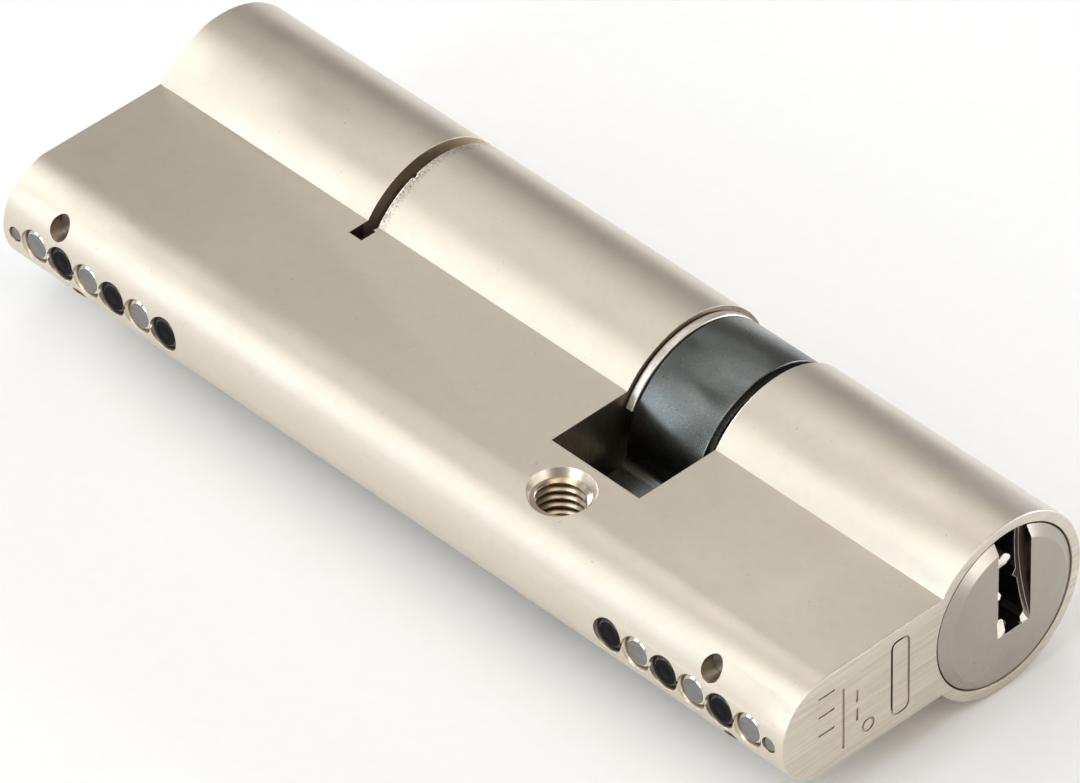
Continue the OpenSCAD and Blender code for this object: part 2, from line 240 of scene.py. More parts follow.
@dataclass(frozen=True)
class Metal:
    """A bare or plated metal with grain, clouding, rounded edges and edge wear.

    grain is how many grains a metre holds along X, Y and Z: unequal numbers draw lines.
    """

    name: str
    tone: Triple
    dusk: Triple
    rough: float = 0.34
    rough_swing: float = 0.05
    grain: Triple = (9000.0, 9000.0, 9000.0)
    bite: float = 0.05
    cloud: float = 160.0
    edge: float = 0.00007
    wear: float = 0.5
    specks: float = 0.4
    shine: Triple = (0.93, 0.91, 0.86)
    streaks: Optional[Triple] = None
    streak_depth: float = 0.0
    scuff: Optional[Triple] = None

    def scuffs(self, n: Nodes) -> Socket:
        """Finds a strip of fine dark specks beside a slot.

        Args:
            n: the material's nodes.

        Returns:
            A socket that is 1 on a speck.
        """
        start, width, above = self.scuff
        place = n.add("SeparateXYZ", {0: n.add("TexCoord").outputs["Object"]})
        away = n.math("SUBTRACT", place.outputs[0], start)
        inner = n.remap(away, -0.0001, 0.0, 0.0, 1.0)
        near = n.math("MULTIPLY", n.remap(away, 0.5 * width, width, 1.0, 0.0), inner)
        near = n.math("MULTIPLY", near, n.remap(place.outputs[1], above, above + 0.0006, 0.0, 1.0))
        specks = n.remap(n.grain(5200.0, 3.0, 0.8), 0.5, 0.58, 0.0, 0.8)
        return n.math("MULTIPLY", near, specks)

    def build(self) -> bpy.types.Material:
        """Lays out the metal's nodes.

        Returns:
            The finished material.
        """
        n = Nodes(self.name)
        cloud = n.grain(self.cloud, 4.0, 0.6)
        fine = n.noise(self.grain, 2.0, 0.6)
        height = fine
        tint = n.mix(n.remap(cloud, 0.3, 0.7, 0.0, 1.0), rgb(*self.dusk), rgb(*self.tone))
        rough = n.remap(cloud, 0.3, 0.7, self.rough + self.rough_swing, self.rough - self.rough_swing)
        mottle = n.remap(n.grain(900.0, 4.0, 0.65), 0.5, 0.75, 0.0, 0.35)
        tint = n.mix(mottle, tint, scaled(self.dusk, 0.9))
        specks = n.remap(n.grain(1900.0, 2.0, 0.5), 0.74, 0.79, 0.0, self.specks)
        tint = n.mix(specks, tint, rgb(0.3, 0.26, 0.2))
        if self.streaks:
            lines = n.noise(self.streaks, 3.0, 0.65)
            height = n.math("ADD", n.math("MULTIPLY", lines, self.streak_depth), fine)
            dark = n.remap(lines, 0.3, 0.62, 0.45, 0.0)
            tint = n.mix(dark, tint, scaled(self.dusk, 0.6))
            rough = n.math("ADD", rough, n.remap(lines, 0.35, 0.65, 0.06, -0.04))
        worn = n.math("MULTIPLY", n.worn_edges(self.edge, 9.0), self.wear)
        tint = n.mix(worn, tint, rgb(*self.shine))
        rough = n.math("SUBTRACT", rough, n.math("MULTIPLY", worn, 0.1))
        if self.scuff:
            tint = n.mix(self.scuffs(n), tint, rgb(0.2, 0.17, 0.13))
        round_off = n.add("Bevel", {"Radius": self.edge}, samples=6).outputs[0]
        bump = n.add("Bump", {"Strength": self.bite, "Distance": 0.00002, "Height": height, "Normal": round_off})
        return n.shade({"Base Color": tint, "Metallic": 1.0, "Roughness": rough, "Normal": bump.outputs[0]})


@dataclass(frozen=True)
class BlackOxide:
    """Blackened steel: a thin dark skin with a satin sheen, pale specks and rubbed edges."""

    name: str
    tone: Triple
    rough: float
    specks: float
    sheen: float = 0.6
    gloss: float = 0.5

    def build(self) -> bpy.types.Material:
        """Lays out the blackened steel's nodes.

        Returns:
            The finished material.
        """
        n = Nodes(self.name)
        grit = n.grain(11000.0, 2.0, 0.7)
        cloud = n.grain(300.0, 4.0, 0.6)
        tint = n.mix(cloud, scaled(self.tone, 0.75), scaled(self.tone, 1.3))
        dots = n.remap(grit, 0.6, 0.7, 0.0, self.specks)
        tint = n.mix(dots, tint, rgb(0.34, 0.36, 0.36))
        holes = n.remap(n.grain(4200.0, 2.0, 0.6), 0.34, 0.28, 0.0, self.specks)
        tint = n.mix(holes, tint, scaled(self.tone, 0.3))
        worn = n.math("MULTIPLY", n.worn_edges(0.00008, 7.0), 0.45)
        tint = n.mix(worn, tint, rgb(0.30, 0.30, 0.31))
        rough = n.remap(cloud, 0.3, 0.7, self.rough + 0.07, self.rough - 0.05)
        round_off = n.add("Bevel", {"Radius": 0.0001}, samples=6).outputs[0]
        bump = n.add("Bump", {"Strength": 0.16, "Distance": 0.00003, "Height": grit, "Normal": round_off})
        return n.shade({
            "Base Color": tint, "Metallic": self.sheen, "Roughness": rough, "Normal": bump.outputs[0],
            "Specular IOR Level": self.gloss,
        })


@dataclass(frozen=True)
class Tabletop:
    """The pale matt floor that the part lies on."""

    name: str = "pale_floor"

    def build(self) -> bpy.types.Material:
        """Lays out the floor's nodes.

        Returns:
            The finished material.
        """
        n = Nodes(self.name)
        tooth = n.grain(900.0, 3.0)
        tint = n.mix(tooth, rgb(0.86, 0.86, 0.86), rgb(0.89, 0.89, 0.89))
        return n.shade({"Base Color": tint, "Roughness": 0.7})


class Finishes:
    """Every finish that the part wears, built once."""

    def __init__(self) -> None:
        """Builds the materials."""
        warm, dusk = (0.71, 0.65, 0.555), (0.68, 0.62, 0.52)
        self.nickel = Metal("satin_nickel", warm, dusk, rough=0.37, rough_swing=0.035, bite=0.3,
                            scuff=(-0.03397, 0.0009, 0.0118)).build()
        self.milled = Metal("milled_nickel", warm, dusk, rough=0.36, bite=0.3, wear=0.3,
                            streaks=(2500.0, 160.0, 5200.0), streak_depth=3.0).build()
        self.cut = Metal("cut_wall", (0.66, 0.57, 0.45), (0.54, 0.45, 0.34), rough=0.38, bite=0.12,
                         wear=0.4, streaks=(5200.0, 400.0, 400.0), streak_depth=0.8).build()
        # Dark brown painted shade for the walls of bores, windows, flange seats and the screw hole.
        self.bore = Metal("bore_wall_painted_shade", (0.40, 0.33, 0.26), (0.25, 0.20, 0.15), rough=0.4, bite=0.12,
                          streaks=(400.0, 4200.0, 400.0), streak_depth=0.8).build()
        # Saw-marked walls painted pale as a highlight: the streaks are real, the brightness is painted light.
        self.sawn_painted_light = Metal("sawn_wall_painted_light", (0.92, 0.84, 0.70), (0.76, 0.66, 0.52), rough=0.36, bite=0.2,
                          streaks=(5200.0, 300.0, 300.0), streak_depth=0.8).build()
        self.plug_face = Metal("plug_nickel", (0.43, 0.39, 0.34), (0.40, 0.362, 0.312), rough=0.3,
                               bite=0.05, wear=0.35, specks=0.0).build()
        # Dark brown painted shade for the walls inside the keyway, the pin bores and the dog bed.
        self.channel = Metal("keyway_wall_painted_shade", (0.26, 0.22, 0.19), (0.17, 0.14, 0.12), rough=0.3,
                             bite=0.1, wear=0.9).build()
        # A brass tone made darker as painted shade inside the screw hole.
        self.thread = Metal("cut_thread_painted_shade", (0.62, 0.53, 0.41), (0.34, 0.27, 0.19), rough=0.27, bite=0.15,
                            wear=0.6).build()
        self.steel = Metal("hardened_steel", (0.56, 0.56, 0.56), (0.50, 0.50, 0.50), rough=0.3, bite=0.08).build()
        self.bright = Metal("bright_steel", (0.86, 0.84, 0.80), (0.78, 0.76, 0.72), rough=0.2, bite=0.05).build()
        self.ring = Metal("stamped_ring", (0.95, 0.92, 0.85), (0.66, 0.61, 0.52), rough=0.36, rough_swing=0.08,
                          grain=(3200.0, 3200.0, 3200.0), bite=0.7, cloud=1500.0).build()
        self.ground = Metal("ground_steel", (0.29, 0.28, 0.265), (0.24, 0.23, 0.22), rough=0.4, bite=0.2,
                            streaks=(300.0, 5200.0, 5200.0), streak_depth=1.2).build()
        # Pale painted highlight for the ledges in the keyway, standing in for ward edges that catch light.
        self.ward_painted_glint = Metal("ward_painted_highlight", (0.92, 0.88, 0.80), (0.84, 0.80, 0.72), rough=0.42, bite=0.1).build()
        self.pin = Metal("nickel_silver", (0.66, 0.58, 0.42), (0.58, 0.50, 0.36), rough=0.28, bite=0.06).build()
        self.wire = Metal("spring_wire", (0.60, 0.60, 0.61), (0.52, 0.52, 0.53), rough=0.3, bite=0.05).build()
        self.cam = BlackOxide("black_cam", (0.15, 0.163, 0.158), 0.25, 0.7, sheen=1.0).build()
        self.cap_black = BlackOxide("black_cap", (0.006, 0.004, 0.006), 0.36, 0.015, sheen=0.0, gloss=0.04).build()
        self.cap_rim = BlackOxide("black_cap_rim", (0.05, 0.045, 0.045), 0.28, 0.1, sheen=0.7).build()
        self.clip_black = BlackOxide("black_clip", (0.10, 0.08, 0.06), 0.4, 0.3, sheen=0.8).build()


# --------------------------------------------------------------------------- mesh work


def lathe(bm: BMesh, outline: Outline, axis: Axis = Axis.Z, at: Sequence[float] = (0, 0, 0),
          steps: int = 96, closed: bool = False, skin: int = 0) -> list[BMVert]:
    """Turns an outline about an axis into a closed solid.

    Args:
        bm: mesh to add to, in millimetres.
        outline: pairs of place along the axis and radius.
        axis: direction of the axis.
        at: a point on the axis.
        steps: facets in a full turn.
        closed: whether the outline's end joins its start, as for a ring.
        skin: material index of the faces.

    Returns:
        The new vertices.
    """
    before = set(bm.verts)
    old_faces = set(bm.faces)
    verts = [bm.verts.new((radius, 0.0, along)) for along, radius in outline]
    edges = [bm.edges.new(pair) for pair in zip(verts, verts[1:])]
    if closed:
        edges.append(bm.edges.new((verts[-1], verts[0])))
    bmesh.ops.spin(bm, geom=verts + edges, cent=(0, 0, 0), axis=(0, 0, 1), dvec=(0, 0, 0),
                   angle=FULL, steps=steps, use_merge=True, use_duplicate=False)
    new = [v for v in bm.verts if v not in before]
    bmesh.ops.remove_doubles(bm, verts=new, dist=WELD)
    new = [v for v in bm.verts if v not in before]
    bmesh.ops.transform(bm, matrix=Matrix.Translation(at) @ axis.turn(), verts=new)
    for face in bm.faces:
        if face not in old_faces:
            face.material_index = skin
    return new


def arc(bm: BMesh, start: BMVert, centre: Sequence[float], turn: float, steps: int) -> BMVert:
    """Draws an arc of edges from a vertex, turning about X.

    Args:
        bm: mesh to add to.
        start: vertex that the arc starts from.
        centre: point that it turns about.
        turn: angle in radians, positive from +Y towards +Z.
        steps: number of edges.

    Returns:
        The arc's last vertex.
    """
    made = bmesh.ops.spin(bm, geom=[start], cent=centre, axis=(1, 0, 0), dvec=(0, 0, 0), angle=turn,
                          steps=steps, use_merge=False, use_duplicate=False)
    return next(g for g in made["geom_last"] if isinstance(g, BMVert))


def extrude_outline(bm: BMesh, run: float, round_off: float, skin: int = 0) -> None:
    """Fills the loose outline in a mesh, extrudes it along X and softens its end edges.

    Args:
        bm: mesh that holds one closed outline of edges in one plane across X.
        run: length of the extrusion.
        round_off: radius of the end edges.
        skin: material index of the two ends.
    """
    bmesh.ops.remove_doubles(bm, verts=bm.verts[:], dist=WELD)
    made = bmesh.ops.contextual_create(bm, geom=bm.edges[:])
    cap = made["faces"][0]
    grown = bmesh.ops.extrude_face_region(bm, geom=[cap], use_keep_orig=True)
    top = [g for g in grown["geom"] if isinstance(g, BMVert)]
    bmesh.ops.translate(bm, vec=(run, 0, 0), verts=top)
    bmesh.ops.recalc_face_normals(bm, faces=bm.faces[:])
    ends = [f for f in bm.faces if len(f.verts) > 8]
    for face in ends:
        face.material_index = skin
    if round_off > 0:
        rims = [e for f in ends for e in f.edges]
        soften(bm, rims, round_off, 3)


def block(bm: BMesh, low: Sequence[float], high: Sequence[float], skin: int = 0) -> list[BMVert]:
    """Adds a box.

    Args:
        bm: mesh to add to.
        low: lowest corner.
        high: highest corner.
        skin: material index of its faces.

    Returns:
        The box's vertices.
    """
    low_v, high_v = Vector(low), Vector(high)
    place = Matrix.Translation((low_v + high_v) / 2) @ Matrix.Diagonal((*(high_v - low_v), 1.0))
    made = bmesh.ops.create_cube(bm, size=1.0, matrix=place)["verts"]
    for face in {f for v in made for f in v.link_faces}:
        face.material_index = skin
    return made


def as_object(name: str, bm: BMesh, skins: Sequence[bpy.types.Material] = ()) -> bpy.types.Object:
    """Makes an object of a mesh, and frees the mesh it came from.

    Args:
        name: the object's name.
        bm: its mesh.
        skins: its materials in order of index.

    Returns:
        The new object, linked to the scene.
    """
    bmesh.ops.recalc_face_normals(bm, faces=bm.faces[:])
    mesh = bpy.data.meshes.new(name)
    bm.to_mesh(mesh)
    bm.free()
    for skin in skins:
        mesh.materials.append(skin)
    obj = bpy.data.objects.new(name, mesh)
    bpy.context.scene.collection.objects.link(obj)
    return obj


def turned(name: str, outline: Outline, axis: Axis = Axis.X, at: Sequence[float] = (0, 0, 0), steps: int = 96,
           skins: Sequence[bpy.types.Material] = (), skin: int = 0) -> bpy.types.Object:
    """Turns an outline into an object of its own.

    Args:
        name: the object's name.
        outline: pairs of place along the axis and radius.
        axis: direction of the axis.
        at: a point on the axis.
        steps: facets in a full turn.
        skins: its materials in order of index.
        skin: material index of its faces.

    Returns:
        The new object.
    """
    bm = bmesh.new()
    lathe(bm, outline, axis, at, steps, skin=skin)
    return as_object(name, bm, skins)


def boxed(name: str, low: Sequence[float], high: Sequence[float], skins: Sequence[bpy.types.Material] = (),
          skin: int = 0) -> bpy.types.Object:
    """Makes an object of one box.

    Args:
        name: the object's name.
        low: lowest corner.
        high: highest corner.
        skins: its materials in order of index.
        skin: material index of its faces.

    Returns:
        The new object.
    """
    bm = bmesh.new()
    block(bm, low, high, skin)
    return as_object(name, bm, skins)


def soften(bm: BMesh, edges: Sequence[BMEdge], size: float, segments: int) -> None:
    """Rounds edges of a mesh.

    Args:
        bm: the mesh.
        edges: edges to round.
        size: distance from each edge to where its rounding starts.
        segments: facets across the rounding.
    """
    bmesh.ops.bevel(bm, geom=edges, offset=size, offset_type="OFFSET", segments=segments, profile=0.5,
                    affect="EDGES", material=-1)


def carve(obj: bpy.types.Object, cutters: Sequence[bpy.types.Object], how: str = "DIFFERENCE") -> None:
    """Cuts an object with others, keeps the cutters' materials on the cuts, and deletes the cutters.

    Args:
        obj: object to cut.
        cutters: objects to cut it with, in order.
        how: the boolean operation.
    """
    for cutter in cutters:
        step = obj.modifiers.new("cut", "BOOLEAN")
        step.operation, step.solver, step.object = how, "EXACT", cutter
        step.material_mode, step.use_self = "TRANSFER", True
    bpy.context.view_layer.update()
    graph = bpy.context.evaluated_depsgraph_get()
    made = bpy.data.meshes.new_from_object(obj.evaluated_get(graph))
    obj.modifiers.clear()
    old, obj.data = obj.data, made
    bpy.data.meshes.remove(old)
    for cutter in cutters:
        bpy.data.objects.remove(cutter)


def finish_piece(obj: bpy.types.Object, body: str, replaced: Sequence[str] = (),
                 smooth: float = SMOOTH_UNDER) -> bpy.types.Object:
    """Takes a piece modelled in millimetres to its place in metres and hands it to its body.

    Args:
        obj: the piece, modelled about the plug axis.
        body: the moving body it rides on.
        replaced: CAD nodes that it stands for.
        smooth: edges flatter than this angle are shaded smooth.

    Returns:
        The same object.
    """
    bm = bmesh.new()
    bm.from_mesh(obj.data)
    bmesh.ops.remove_doubles(bm, verts=bm.verts[:], dist=WELD)
    bmesh.ops.dissolve_degenerate(bm, edges=bm.edges[:], dist=WELD)
    bmesh.ops.transform(bm, matrix=Matrix.Scale(MM, 4) @ Matrix.Translation((0, Layout.screw_drop, 0)),
                        verts=bm.verts[:])
    for face in bm.faces:
        face.smooth = True
    bm.to_mesh(obj.data)
    bm.free()
    obj.data.set_sharp_from_angle(angle=smooth)
    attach(obj, body)
    if replaced:
        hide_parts(*replaced)
    LOG.info("%s on %s: %d faces", obj.name, body, len(obj.data.polygons))
    return obj


# --------------------------------------------------------------------------- sizes shared by pieces


class Side(Enum):
    """One end of the cylinder."""

    NEAR = "near"
    FAR = "far"

    def place(self) -> Matrix:
        """Gives the turn that carries the near side's shapes to this side."""
        return Matrix.Identity(4) if self is Side.NEAR else Matrix.Rotation(math.pi, 4, "Y")


class Skin(IntEnum):
    """Material index of each kind of surface on the housing."""

    PLATED = 0
    MILLED = 1
    CUT = 2
    # Walls painted dark brown as shade inside bores, windows and gaps.
    BORE = 3
    # Rims and upper slot walls painted pale as a highlight where light falls on them.
    SAWN = 4


class Face(IntEnum):
    """Material index of each kind of surface on a plug."""

    TURNED = 0
    # Plug walls painted dark as shade inside the keyway and bores.
    WALL = 1
    # Ledges painted pale as a highlight where the wards catch light.
    FRESH = 2


class Layout:
    """Sizes in millimetres that several pieces share, about the plug axis."""

    screw_drop = 19.0
    near_len = 30.25
    far_len = 60.25
    barrel_r = 8.5
    web = 10.0
    foot = -24.5
    plug_r = 6.5
    flange_r = 7.4
    flange_gap = 0.1
    flange_slope = 0.94
    flange_t = 1.2
    proud = 0.5
    run = 0.05
    side = 0.1
    window = 5.0
    window_drop = 15.25
    clip_lo = -35.2
    clip_hi = -33.7
    clip_drop = 9.0
    pins = 6
    first_pin = 3.85
    pitch = 3.12
    pin_r = 1.25
    cap_r = 1.44
    cap_sink = 0.3
    front_sink = 0.15
    cap_in = -22.5
    nose_at = 1.6
    nose_r = 6.3
    neck_r = 5.5
    screw_r = 2.5
    dog_half = 1.5
    slack = 0.05
    dog_reach = 9.0
    tips = (0.55, 0.95, 0.35, 0.75, 0.45, 0.85)

    @classmethod
    def length(cls, side: Side) -> float:
        """Gives the distance from the screw to a side's face."""
        return cls.near_len if side is Side.NEAR else cls.far_len

    @classmethod
    def pin_x(cls, side: Side, index: int) -> float:
        """Gives how far from the screw a side's pin stands, before its side's turn."""
        return cls.length(side) - cls.first_pin - cls.pitch * index


# --------------------------------------------------------------------------- housing


@dataclass
class Housing:
    """The bored and slotted bar of euro profile, with its screw thread and face marks."""

    finishes: Finishes
    end_round: float = 0.12
    arc_steps: int = 288
    leg_steps: int = 120
    bore_steps: int = 192
    rim: float = 0.08
    mark_depth: float = 0.16
    mark_width: float = 0.24
    frame_corner: float = 0.6
    burr: float = 0.27
    sink_r: float = 2.91
    sink_deep: float = 0.75
    thread_pitch: float = 0.8
    thread_crest: float = 2.08

    def blank(self) -> bpy.types.Object:
        """Extrudes the euro profile over the cylinder's length.

        Returns:
            The bar, with milled ends.
        """
        half, leg_y = Layout.web / 2, Layout.foot + Layout.web / 2
        joint = math.asin(half / Layout.barrel_r)
        joint_y = -Layout.barrel_r * math.cos(joint)
        x = -Layout.far_len
        bm = bmesh.new()
        top = bm.verts.new((x, leg_y, half))
        low = arc(bm, top, (x, leg_y, 0), math.pi, self.leg_steps)
        turn_in = bm.verts.new((x, joint_y, -half))
        bm.edges.new((low, turn_in))
        turn_out = arc(bm, turn_in, (x, 0, 0), FULL - 2 * joint, self.arc_steps)
        bm.edges.new((turn_out, top))
        extrude_outline(bm, Layout.near_len + Layout.far_len, self.end_round, Skin.MILLED)
        return as_object("housing_body", bm, self.skins())

    def bore(self) -> bpy.types.Object:
        """Makes the cutter for the plug bore and its two flange seats.

        Returns:
            The cutter.
        """
        r, seat = Layout.plug_r + Layout.run, Layout.flange_r + Layout.flange_gap
        outline = []
        for end, sign in ((-Layout.far_len, -1), (Layout.near_len, 1)):
            steps = [
                (end + sign, 0.0),
                (end + sign, seat + self.rim),
                (end, seat + self.rim),
                (end - sign * self.rim, seat),
                (end - sign * Layout.flange_t, seat),
                (end - sign * Layout.flange_t, r),
            ]
            outline += steps if sign < 0 else steps[::-1]
        # The seat walls carry the dark painted shade of the gap round each flange.
        return turned("cutter", outline, steps=self.bore_steps, skins=self.skins(), skin=Skin.BORE)

    def windows(self) -> bpy.types.Object:
        """Makes the cutters for the cam's window and the retaining ring's slot.

        Returns:
            One cutter, whose slot is narrowed by the burr on the barrel.
        """
        reach, burr_from, overlap = 2 * Layout.barrel_r, -7.5, 0.1
        bm = bmesh.new()
        # Window walls and the slot's lower walls carry painted shade; the slot's upper walls beside the burr carry
        # painted light.
        block(bm, (-Layout.window, -Layout.window_drop, -reach), (Layout.window, reach, reach), Skin.BORE)
        block(bm, (Layout.clip_lo, -Layout.clip_drop, -reach), (Layout.clip_hi, burr_from + overlap, reach), Skin.BORE)
        block(bm, (Layout.clip_lo, burr_from, -reach), (Layout.clip_hi - self.burr, reach, reach), Skin.SAWN)
        return self.cutter(bm)

    def pin_bores(self) -> bpy.types.Object:
        """Makes the cutters for the pin bores, cap seats and guard-pin bores.

        Returns:
            One cutter for all of them.
        """
        bm = bmesh.new()
        out, foot, top = Layout.foot - 1.0, Layout.foot, -Layout.plug_r + 0.5
        chamber, seat, guard_top = Layout.pin_r + Layout.run, Layout.cap_r + 0.01, -8.6
        profile = [(out, 0), (out, seat + 0.16), (foot + 0.1, seat + 0.12), (foot + 0.4, seat + 0.07),
                   (foot + 0.6, seat), (Layout.cap_in, seat), (Layout.cap_in, chamber), (top, chamber), (top, 0)]
        for side in Side:
            here: list[BMVert] = []
            for i in range(Layout.pins):
                here += lathe(bm, profile, Axis.Y, (Layout.pin_x(side, i), 0, 0), 64, skin=Skin.BORE)
            # Pin bore walls carry painted shade; faces near the foot, the flared rims, get the bright painted
            # highlight.
            for face in bm.faces:
                if face.material_index == Skin.BORE and face.calc_center_median().y < foot + 0.3:
                    face.material_index = Skin.SAWN
            for back, z, r, flare in ((1.5, 0.0, 0.66, 0.06), (8.65, 2.8, 1.0, 0.05), (6.15, -2.8, 1.0, 0.05)):
                outline = [(out, 0), (out, r + flare), (foot + 0.02, r + flare), (foot + 0.3, r), (guard_top, r),
                           (guard_top + 0.6 * r, 0)]
                here += lathe(bm, outline, Axis.Y, (Layout.length(side) - back, 0, z), 56, skin=Skin.CUT)
            bmesh.ops.transform(bm, matrix=side.place(), verts=here)
        return self.cutter(bm)

    def screw_hole(self) -> bpy.types.Object:
        """Makes the cutter for the fixing screw's hole, countersunk on both flats.

        Returns:
            The cutter, with painted shade inside and the plain plating on its countersinks.
        """
        half, r, sink, deep = Layout.web / 2, Layout.screw_r, self.sink_r, Layout.web / 2 - self.sink_deep
        outline = [(-half - 1, 0), (-half - 1, sink), (-half, sink), (-deep, r), (deep, r), (half, sink),
                   (half + 1, sink), (half + 1, 0)]
        bm = bmesh.new()
        lathe(bm, outline, Axis.Z, (0, -Layout.screw_drop, 0), 96)
        # Faces inside the hole get the dark painted shade.
        for face in bm.faces:
            if abs(face.calc_center_median().z) < deep - 0.05:
                face.material_index = Skin.BORE
        return self.cutter(bm)

    def marks(self) -> list[bpy.types.Object]:
        """Makes shallow cutters for plain batch marks on the short side's face.

        Returns:
            The cutter of a frame, and the cutter of the bars and a ring.
        """
        x0, x1, half = Layout.near_len - self.mark_depth, Layout.near_len + 0.5, self.mark_width / 2
        frame = []
        for grow in (half, -half):
            bm = bmesh.new()
            made = block(bm, (x0 - grow, -12.5 - grow, -3.7 - grow), (x1, -10.65 + grow, 3.8 + grow), Skin.CUT)
            corners = [e for e in {e for v in made for e in v.link_edges}
                       if abs(e.verts[0].co.x - e.verts[1].co.x) > 0.1]
            soften(bm, corners, self.frame_corner + grow, 8)
            frame.append(self.cutter(bm))
        frame[0].location.x = half
        carve(frame[0], frame[1:])
        bm = bmesh.new()
        for y0, y1, z0, z1 in (
            (-17.8, -17.8, -3.5, 2.5), (-16.3, -16.3, -1.5, -0.5), (-16.3, -16.3, 0.4, 1.4),
            (-20.4, -18.9, 3.1, 3.1), (-20.4, -18.9, 1.2, 1.2), (-20.4, -18.9, -0.7, -0.7),
        ):
            block(bm, (x0, y0 - half, z0 - half), (x1, y1 + half, z1 + half), Skin.CUT)
        inner, outer = 0.6 - half, 0.6 + half
        ring = [(x0, inner), (x1, inner), (x1, outer), (x0, outer)]
        lathe(bm, ring, Axis.X, (0, -15.1, -2.8), 40, closed=True, skin=Skin.CUT)
        return [frame[0], self.cutter(bm)]

    def nick(self) -> bpy.types.Object:
        """Makes the cutter for a small burr pit at the edge of the retaining ring's slot.

        Returns:
            The cutter.
        """
        bm = bmesh.new()
        for dx, turn, radius in ((0.05, 109.0, 0.24), (0.32, 106.5, 0.15), (0.22, 111.5, 0.11)):
            angle = math.radians(turn)
            at = (Layout.clip_hi - self.burr + dx, Layout.barrel_r * math.cos(angle),
                  Layout.barrel_r * math.sin(angle))
            bmesh.ops.create_icosphere(bm, subdivisions=2, radius=radius, matrix=Matrix.Translation(at))
        return self.cutter(bm)

    def cutter(self, bm: BMesh) -> bpy.types.Object:
        """Makes a cutter object that leaves cut walls behind it."""
        return as_object("cutter", bm, self.skins())

    def skins(self) -> list[bpy.types.Material]:
        """Gives the housing's materials in order of index."""
        f = self.finishes
        return [f.nickel, f.milled, f.cut, f.bore, f.sawn_painted_light]

    def thread(self) -> bpy.types.Object:
        """Sweeps the ridge of the fixing screw's thread down its hole.

        Returns:
            The thread.
        """
        pitch, per_turn, reach = self.thread_pitch, 48, Layout.web / 2 - 0.7
        turns = int(2 * reach / pitch) + 3
        root, crest = Layout.screw_r + 0.04, self.thread_crest
        bm = bmesh.new()
        start = -reach - pitch
        verts = [bm.verts.new((r, 0, start + h)) for r, h in (
            (root, -0.36), (crest, -0.06), (crest, 0.06), (root, 0.36))]
        edges = [bm.edges.new(pair) for pair in zip(verts, verts[1:] + verts[:1])]
        cap = bm.faces.new(verts)
        bmesh.ops.spin(bm, geom=verts + edges + [cap], cent=(0, 0, 0), axis=(0, 0, 1),
                       dvec=(0, 0, pitch / per_turn), angle=FULL * turns, steps=per_turn * turns,
                       use_merge=False, use_duplicate=False)
        bmesh.ops.remove_doubles(bm, verts=bm.verts[:], dist=WELD)
        for level, up in ((reach, 1), (-reach, -1)):
            geom = bm.verts[:] + bm.edges[:] + bm.faces[:]
            cut = bmesh.ops.bisect_plane(bm, geom=geom, plane_co=(0, 0, level), plane_no=(0, 0, up),
                                         clear_outer=True)
            rim = [g for g in cut["geom_cut"] if isinstance(g, BMEdge)]
            bmesh.ops.holes_fill(bm, edges=rim, sides=0)
        bmesh.ops.translate(bm, vec=(0, -Layout.screw_drop, 0), verts=bm.verts[:])
        return as_object("screw_thread", bm, [self.finishes.thread])

    def build(self) -> None:
        """Builds the housing and its thread."""
        body = self.blank()
        carve(body, [self.bore(), self.windows(), self.pin_bores(), self.screw_hole(), self.nick(),
                     *self.marks()])
        finish_piece(body, "housing", ["housing"])
        finish_piece(self.thread(), "housing")


# --------------------------------------------------------------------------- plugs


def nose_outline() -> list[tuple[float, float]]:
    """Gives the turned nose that reaches into the cam, from its end out to the window's edge."""
    end, nose_r, neck = Layout.nose_at, Layout.nose_r, Layout.window - 1.0
    return [(end, 0.0), (end, nose_r - 0.1), (end + 0.1, nose_r), (neck, nose_r), (neck, Layout.neck_r),
            (Layout.window, Layout.neck_r), (Layout.window, Layout.plug_r)]


